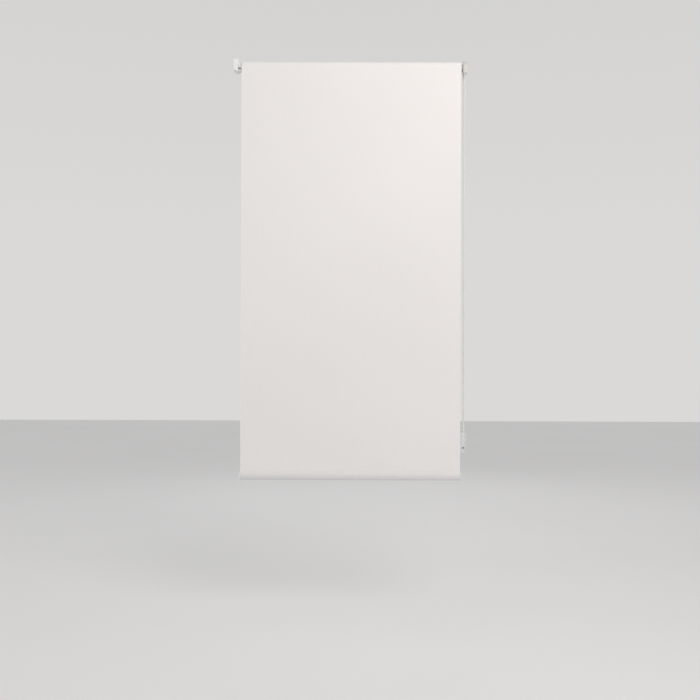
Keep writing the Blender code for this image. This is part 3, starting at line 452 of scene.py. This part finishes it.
def makeClothRoll():
    # The cloth left on the tube, as one spiral whose radius falls evenly with its angle. Its outer end
    # meets the hanging cloth at the front, and its inner end lies on the tube. Each turn's edge
    # wanders a little along the tube, as a sine of the angle.
    wound = {"turns": 5.25, "perTurn": 72, "offTube": 0.3 * mm, "wander": 0.18 * mm, "wanderRate": 1.7,
             "wanderPhase": 0.5, "straight": 0.5, "columns": 9}
    steps = int(wound["turns"] * wound["perTurn"]) + 1
    angle = np.linspace(0, 2 * np.pi * wound["turns"], steps)[:, None]
    outside = -sheetPlane
    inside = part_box("roller_tube")[1].y + wound["offTube"] + clothThickness / 2
    radius = outside + (inside - outside) * angle / angle[-1]
    share = np.linspace(0, 1, wound["columns"])[None, :]
    x = clothLow.x + (clothHigh.x - clothLow.x) * share
    wander = wound["wander"] * np.sin(wound["wanderRate"] * angle + wound["wanderPhase"])
    x = x + wander * (angle > wound["straight"])
    length = np.cumsum(np.concatenate([[0.0], np.ravel(radius[1:] * np.diff(angle, axis=0))]))[:, None]
    points = np.stack(np.broadcast_arrays(x, -radius * np.cos(angle), radius * np.sin(angle)), axis=-1)
    across, along = np.broadcast_arrays(x, -length)
    roll = addPiece("cloth_roll", points.reshape(-1, 3), gridFaces(steps, wound["columns"]), "blind_fabric")
    layCloth(roll, across, along)
    thicken(roll, clothThickness)
    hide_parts("fabric_roll")
    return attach(roll, "roller")


def hemPath():
    # Up from the flap behind the seam's top, down the back, round the bar and up the front to the
    # seam, where it carries on as the hanging cloth. The back leaves the seam along a quarter cosine
    # and the front along half a cosine, and the fold is a half circle.
    shape = {"flap": 5 * mm, "shoulder": 12.5 * mm, "bend": 24, "taper": 12, "frontTaper": 10 * mm,
             "behindBy": 1.06}
    half = (hemHigh.y - hemLow.y - clothThickness) / 2
    middle = (hemHigh.y + hemLow.y) / 2
    low = hemLow.z + clothThickness / 2
    top = clothLow.z
    behind = sheetPlane + shape["behindBy"] * clothThickness
    rise = np.linspace(1, 0, shape["taper"])
    fullness = np.cos(rise * np.pi / 2)
    backTop = hemLow.z + shape["shoulder"]
    back = np.stack([behind + (middle + half - behind) * fullness, backTop + rise * (top - backTop)], axis=-1)
    turn = np.linspace(0, np.pi, shape["bend"])
    under = np.stack([middle + half * np.cos(turn), low + half - half * np.sin(turn)], axis=-1)
    swell = (1 - np.cos(np.pi * (1 - rise))) / 2
    frontTop = top - shape["frontTaper"]
    front = np.stack([sheetPlane + (middle - half - sheetPlane) * swell,
                      frontTop + rise * (top - frontTop)], axis=-1)[::-1]
    flap = [[behind, top + shape["flap"]], [behind, top + shape["flap"] / 2]]
    return np.concatenate([flap, back, under, front])


def makeHem():
    # The hem's path carried along X. Below its seam the pocket is slack, so it puckers very slightly
    # in and out, as a sine along X.
    slack = {"columns": 61, "pucker": 0.08 * mm, "length": 24 * mm, "below": 3 * mm, "fold": 1 * mm}
    path = hemPath()
    x = np.linspace(hemLow.x, hemHigh.x, slack["columns"])[None, :]
    pucker = slack["pucker"] * np.sin(2 * np.pi * x / slack["length"]) * np.ones((len(path), 1))
    loose = path[:, 1:] < clothLow.z - slack["below"]
    y = path[:, :1] + pucker * np.sign(path[:, :1] - sheetPlane) * loose
    z = path[:, 1:] + 0 * x
    run = np.concatenate([[0.0], np.cumsum(np.linalg.norm(np.diff(path, axis=0), axis=1))])[:, None]
    points = np.stack(np.broadcast_arrays(x, y, z), axis=-1).reshape(-1, 3)
    across, along = np.broadcast_arrays(x, run)
    hem = addPiece("hem_cloth", points, gridFaces(len(path), slack["columns"]), "blind_fabric",
                   makeHemFabricWithPaintedShade(clothLow.z, hemLow.z + slack["fold"]))
    layCloth(hem, across, along)
    thicken(hem, clothThickness)
    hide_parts("hem_pocket")
    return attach(hem, "bottom_rail")


def makeSeam():
    # Lockstitches that close the pocket, front and back. Each is a short thread that follows the root
    # of a sine out of the cloth and back into it, and is thinnest where it goes in.
    sewing = {
        "stitch": 3.2 * mm, "gap": 0.5 * mm, "thread": 0.32 * mm, "rise": 0.6, "thinnest": 0.35,
        "inset": 3 * mm, "above": 1.6 * mm, "behindBy": 1.6, "rings": 7, "sides": 6,
    }
    length = clothHigh.x - clothLow.x - 2 * sewing["inset"]
    count = int(length / sewing["stitch"])
    spacing = length / count
    along = np.linspace(0, 1, sewing["rings"])
    arch = np.sin(np.pi * along) ** 0.5
    path = np.stack([along * (spacing - sewing["gap"]), -arch * sewing["thread"] * sewing["rise"],
                     0 * along], axis=-1)
    turn = around(sewing["sides"])
    thick = sewing["thread"] / 2 * (sewing["thinnest"] + (1 - sewing["thinnest"]) * arch)
    circle = np.stack([0 * turn, np.cos(turn), np.sin(turn)], axis=-1)
    one = (path[:, None] + thick[:, None, None] * circle).reshape(-1, 3)
    starts = clothLow.x + sewing["inset"] + spacing * np.arange(count)
    height = clothLow.z + sewing["above"]
    front, back = sheetPlane - clothThickness / 2, sheetPlane + sewing["behindBy"] * clothThickness
    points = np.concatenate([
        (one * [1, side, 1])[None] + np.stack([starts, starts * 0 + face, starts * 0 + height], -1)[:, None]
        for side, face in ((1, front), (-1, back))
    ]).reshape(-1, 3)
    frontFaces = capped(sewing["rings"], sewing["sides"])
    backFaces = [face[::-1] for face in frontFaces]
    faces = repeated(frontFaces, len(one), range(count))
    faces += repeated(backFaces, len(one), range(count, 2 * count))
    stitches = outward(addPiece("hem_stitches", points, faces, "blind_fabric", threadFinish))
    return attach(stitches, "bottom_rail")


chain = {
    "bead": 4.5 * mm, "pitch": 6 * mm, "beadRows": 7, "beadSides": 12, "beadFlat": 0.32,
    "pocketStep": 30, "firstPocket": 16.5, "beadsOnWheel": 6,
    "cord": 1.5 * mm, "cordPoints": 700, "cordSides": 8,
    "lowerTurn": 7 * mm, "frameCord": 2 * mm, "wheelPoints": 361, "turnPoints": 181,
}
chainX = (chainLow.x + chainHigh.x) / 2
wheelRadius = chainHigh.z - chain["frameCord"] / 2
chainDrop = -(chainLow.z + chain["frameCord"] / 2 + chain["lowerTurn"])
chainLean = math.asin((wheelRadius - chain["lowerTurn"]) / chainDrop)


def chainLoop():
    # The closed loop as (distance, y, z): over the wheel from the front, down the back strand,
    # round the lower turn and up the front strand. Straights join where they touch both circles.
    onWheel = np.linspace(-chainLean, np.pi + chainLean, chain["wheelPoints"])
    onTurn = np.linspace(chainLean, np.pi - chainLean, chain["turnPoints"])
    y = np.concatenate([-wheelRadius * np.cos(onWheel), chain["lowerTurn"] * np.cos(onTurn)])
    z = np.concatenate([wheelRadius * np.sin(onWheel), -chainDrop - chain["lowerTurn"] * np.sin(onTurn)])
    y, z = np.append(y, y[0]), np.append(z, z[0])
    distance = np.concatenate([[0.0], np.cumsum(np.hypot(np.diff(y), np.diff(z)))])
    return distance, y, z


def beadPlaces():
    # Beads lie in the wheel's pockets, and the others are spaced evenly round what is left
    distance, y, z = chainLoop()
    pockets = np.radians(chain["firstPocket"] + chain["pocketStep"] * np.arange(chain["beadsOnWheel"]))
    seated = wheelRadius * (pockets + chainLean)
    left = distance[-1] - (seated[-1] - seated[0])
    count = round(left / chain["pitch"])
    hanging = seated[-1] + left / count * np.arange(1, count)
    places = np.mod(np.concatenate([seated, hanging]), distance[-1])
    step = 0.2 * mm
    before, here, after = (
        np.stack([np.full_like(places, chainX), np.interp(at, distance, y, period=distance[-1]),
                  np.interp(at, distance, z, period=distance[-1])], axis=-1)
        for at in (places - step, places, places + step)
    )
    ahead = after - before
    return here, ahead / np.linalg.norm(ahead, axis=1)[:, None]


def makeBeads():
    # Each bead is a ball moulded on the cord: circles at even angles from its own end, with a small
    # flat where the cord enters it
    centres, ahead = beadPlaces()
    rows, sides, radius = chain["beadRows"], chain["beadSides"], chain["bead"] / 2
    lean = np.linspace(chain["beadFlat"], np.pi - chain["beadFlat"], rows)[:, None]
    turn = around(sides)[None, :]
    along, across, up = (radius * np.broadcast_to(part, (rows, sides)).reshape(-1, 1) for part in (
        np.cos(lean), np.sin(lean) * np.cos(turn), np.sin(lean) * np.sin(turn)))
    sideways = np.array([1.0, 0.0, 0.0])
    third = np.cross(ahead, sideways)
    points = centres[:, None] + along * ahead[:, None] + across * sideways + up * third[:, None]
    faces = repeated(capped(rows, sides), rows * sides, range(len(centres)))
    beads = outward(addPiece("chain_beads", points.reshape(-1, 3), faces, "chain_plastic"))
    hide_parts("bead_chain")
    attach(beads, "mountings")
    return len(centres)


def makeChainCord():
    # The cord that the beads are moulded on: a circle carried round the whole loop
    distance, y, z = chainLoop()
    at = np.linspace(0, distance[-1], chain["cordPoints"], endpoint=False)
    path = np.stack([np.full_like(at, chainX), np.interp(at, distance, y), np.interp(at, distance, z)], -1)
    points = sweep(path, chain["cord"] / 2, chain["cordSides"], closed=True)
    faces = gridFaces(len(at), chain["cordSides"], True, True)
    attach(outward(addPiece("chain_cord", points, faces, "chain_plastic", threadFinish)), "mountings")
    return distance[-1]


def onStrand(piece, node, lean):
    # Turn a piece made along X onto a strand: its length follows the strand, about the node's middle
    low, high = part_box(node)
    x, y, z = pointsOf(piece.data).T
    length = np.array([0.0, math.sin(lean), math.cos(lean)])
    third = np.array([0.0, math.cos(lean), -math.sin(lean)])
    sideways = np.array([1.0, 0.0, 0.0])
    placed = np.array((low + high) / 2) + x[:, None] * length + y[:, None] * third + z[:, None] * sideways
    piece.data.vertices.foreach_set("co", placed.astype(np.float32).ravel())
    piece.data.update()
    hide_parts(node)
    return outward(piece)


def makeChainFittings():
    # Turned outlines: both shells have room inside for the beads that run through them. The stop
    # bulges like a barrel, the root of a parabola. The connector has rounded ends, from a high power,
    # and a narrow waist, a bell curve.
    fitting = {
        "stop": (3.6 * mm, 8 * mm), "connector": (3.3 * mm, 12 * mm),  # radius, length
        "ease": 0.2 * mm, "barrel": 0.82, "square": 8, "rounding": 0.3, "waist": 0.4 * mm,
        "waistWidth": 0.13, "end": 0.995, "points": 41, "sides": 40,
    }
    bore = chain["bead"] / 2 + fitting["ease"]
    t = np.linspace(-fitting["end"], fitting["end"], fitting["points"])
    shapes = {
        "stop": (np.sqrt(1 - fitting["barrel"] * t ** 2), 0 * t),
        "connector": ((1 - t ** fitting["square"]) ** fitting["rounding"],
                      fitting["waist"] * np.exp(-(t / fitting["waistWidth"]) ** 2)),
    }
    for kind, lean in (("stop", chainLean), ("connector", -chainLean)):
        (radius, length), (bulge, notch) = fitting[kind], shapes[kind]
        outer = np.stack([t * length / 2, bore + (radius - bore) * bulge - notch], axis=-1)
        inner = np.stack([t[::-1] * length / 2, np.full(t.shape, bore)], axis=-1)
        outline = np.concatenate([outer, inner])
        shell = addPiece(f"{kind}_shell", ringProfile(outline, fitting["sides"]),
                         gridFaces(len(outline), fitting["sides"], True, True), "chain_plastic")
        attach(onStrand(shell, f"chain_{kind}", lean), f"chain_{kind}")


def wirePiece(name, x, radius, angle, wire, sides=10):
    # Round wire wound about the roller's axis: a circle carried along (x, radius, angle)
    path = np.stack([x, radius * np.cos(angle), radius * np.sin(angle)], axis=-1)
    return outward(addPiece(name, sweep(path, wire / 2, sides), capped(len(path), sides), "plated_steel"))


def makeIdleSpring():
    # A compression spring behind the idle pin: a helix whose turns close up towards both ends
    coil = {"wire": 0.8 * mm, "turns": 8, "perTurn": 32, "closed": 0.3}
    low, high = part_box("idle_spring")
    share = np.linspace(0, 1, coil["turns"] * coil["perTurn"] + 1)
    eased = share - coil["closed"] * np.sin(2 * np.pi * share) / (2 * np.pi)
    x = low.x + coil["wire"] / 2 + (high.x - low.x - coil["wire"]) * eased
    radius = (high.z - low.z - coil["wire"]) / 2
    spring = wirePiece("idle_pin_spring", x, radius, 2 * np.pi * coil["turns"] * share, coil["wire"])
    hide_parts("idle_spring")
    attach(spring, "roller")
    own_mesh(spring)


def makeBrakeSprings():
    # Two wrap springs that grip the spindle, whose flange stands out of it. Each is a helix, and its
    # ends flare out exponentially into the sleeve's slot.
    coil = {"wire": 0.9 * mm, "turns": 3.889, "points": 161, "start": 70, "flange": 1.5 * mm,
            "ease": 0.3 * mm, "flare": 2.15 * mm, "flareOver": 5}
    spindleLow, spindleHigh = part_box("drive_spindle")
    grip = (spindleHigh.z - spindleLow.z) / 2 - coil["flange"] + coil["ease"] + coil["wire"] / 2
    share = np.linspace(0, 1, coil["points"])
    turned = 360 * coil["turns"] * share
    toEnd = np.minimum(turned, turned[-1] - turned)
    radius = grip + coil["flare"] * np.exp(-toEnd / coil["flareOver"])
    for node in ("brake_spring_outer", "brake_spring_inner"):
        low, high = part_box(node)
        x = high.x - coil["wire"] / 2 - share * (high.x - low.x - coil["wire"])
        spring = wirePiece(node + "_wire", x, radius, np.radians(coil["start"] - turned), coil["wire"])
        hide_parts(node)
        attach(spring, "chain_wheel")


# CAD nodes that stay: each takes the finish of its slot and smooth shading on its round faces

def finishFrameNodes():
    slotOf = {part["node"]: part["material_slot"] for part in frame["record"]["subparts"]}
    for name, node in frame["nodes"].items():
        if node.hide_render:
            continue
        finish = ownFinish.get(name, finishes[slotOf[name]])
        if node.material_slots:
            node.material_slots[0].material = finish
        else:
            node.data.materials.append(finish)
        node.modifiers.new("smooth by angle", "NODES").node_group = smoothing


# The stage: a pale floor well below the blind, soft light from the upper right, and the camera

def makeFloor():
    # Matt painted board, very slightly uneven in colour
    studio = {"below": 0.36, "size": 14.0, "patch": 0.9, "patchDetail": 3.0}
    material, shader = startMaterial("matt studio floor", "#efefef", roughness=0.9)
    patches, = noisePatterns(material, (studio["patch"], studio["patchDetail"]))
    finishSurface(material, shader, patches, None, {"dark": "#eeeeee", "light": "#f0f0f0"})
    z = cadBox[0].z - studio["below"]
    half = studio["size"] / 2
    corners = [(-half, -half, z), (half, -half, z), (half, half, z), (-half, half, z)]
    mesh = bpy.data.meshes.new("studio_floor")
    mesh.from_pydata(corners, [], [(0, 1, 2, 3)])
    mesh.materials.append(material)
    floor = bpy.data.objects.new("studio_floor", mesh)
    bpy.context.scene.collection.objects.link(floor)


def makeSky():
    # The sky is pale all round and darker overhead, as under the lintel of a window recess
    sky = {"level": "#dad9d8", "overhead": "#c6c5c5", "from": 0.1, "to": 0.9}
    world = bpy.data.worlds.new("pale studio")
    world.use_nodes = True
    background = world.node_tree.nodes["Background"]
    background.inputs["Strength"].default_value = 1.0
    direction = addNode(world, "ShaderNodeTexCoord")
    parts = addNode(world, "ShaderNodeSeparateXYZ", {"Vector": direction.outputs["Generated"]})
    ramp = addNode(world, "ShaderNodeValToRGB", {"Fac": parts.outputs["Z"]})
    low, high = ramp.color_ramp.elements
    low.position, high.position = sky["from"], sky["to"]
    low.color, high.color = opaque(sky["level"]), opaque(sky["overhead"])
    world.node_tree.links.new(ramp.outputs["Color"], background.inputs["Color"])
    bpy.context.scene.world = world


lamps = {
    "key": {"place": (1.05, -1.35, 0.35), "target": (0.35, 0.0, -0.25), "size": 1.2, "watts": 11.0,
            "colour": "#fffbf8"},
    "fill": {"place": (-1.6, -2.2, 0.0), "target": (0.3, 0.0, -0.4), "size": 2.0, "watts": 4.1,
             "colour": "#fffdfc"},
    "back": {"place": (0.3, 2.4, 0.6), "target": (0.3, 0.0, -0.5), "size": 2.0, "watts": 8.0,
             "colour": "#ffffff"},
}


def addLamp(name, lamp):
    light = bpy.data.lights.new(name, "AREA")
    light.shape = "DISK"
    light.size = lamp["size"]
    light.energy = lamp["watts"]
    light.color = linear(lamp["colour"])
    holder = bpy.data.objects.new(name, light)
    holder.location = lamp["place"]
    holder.rotation_mode = "QUATERNION"
    holder.rotation_quaternion = (Vector(lamp["target"]) - Vector(lamp["place"])).to_track_quat("-Z", "Y")
    bpy.context.scene.collection.objects.link(holder)


def placeCamera():
    # A 50 mm lens, level, 2.49 m in front of the cloth and a little to the right of its middle. It is
    # turned by a fifth of a degree, and shifted so that the blind stands upright in the middle.
    shot = {"lens": 50, "distance": 2.49, "side": 0.065, "centre": 0.3022, "height": -0.725, "roll": 0.19}
    lens = bpy.data.cameras.new("camera")
    lens.lens = shot["lens"]
    frameWidth = lens.sensor_width / shot["lens"] * shot["distance"]
    lens.shift_x = -shot["side"] / frameWidth
    camera = bpy.data.objects.new("camera", lens)
    camera.location = (shot["centre"] + shot["side"], sheetPlane - shot["distance"], shot["height"])
    camera.rotation_euler = (math.pi / 2, -math.radians(shot["roll"]), 0.0)
    bpy.context.scene.collection.objects.link(camera)
    bpy.context.scene.camera = camera


cloth = makeHangingCloth()
roll = makeClothRoll()
hem = makeHem()
seam = makeSeam()
print("cloth made")
beadCount = makeBeads()
loopLength = makeChainCord()
print("chain of", beadCount, "beads,", round(loopLength, 4), "m round")
makeChainFittings()
makeIdleSpring()
makeBrakeSprings()
finishFrameNodes()
print("hardware finished")
makeFloor()
makeSky()
for name, lamp in lamps.items():
    addLamp(name, lamp)
placeCamera()
bpy.context.scene.view_settings.view_transform = "Standard"
print("stage set")
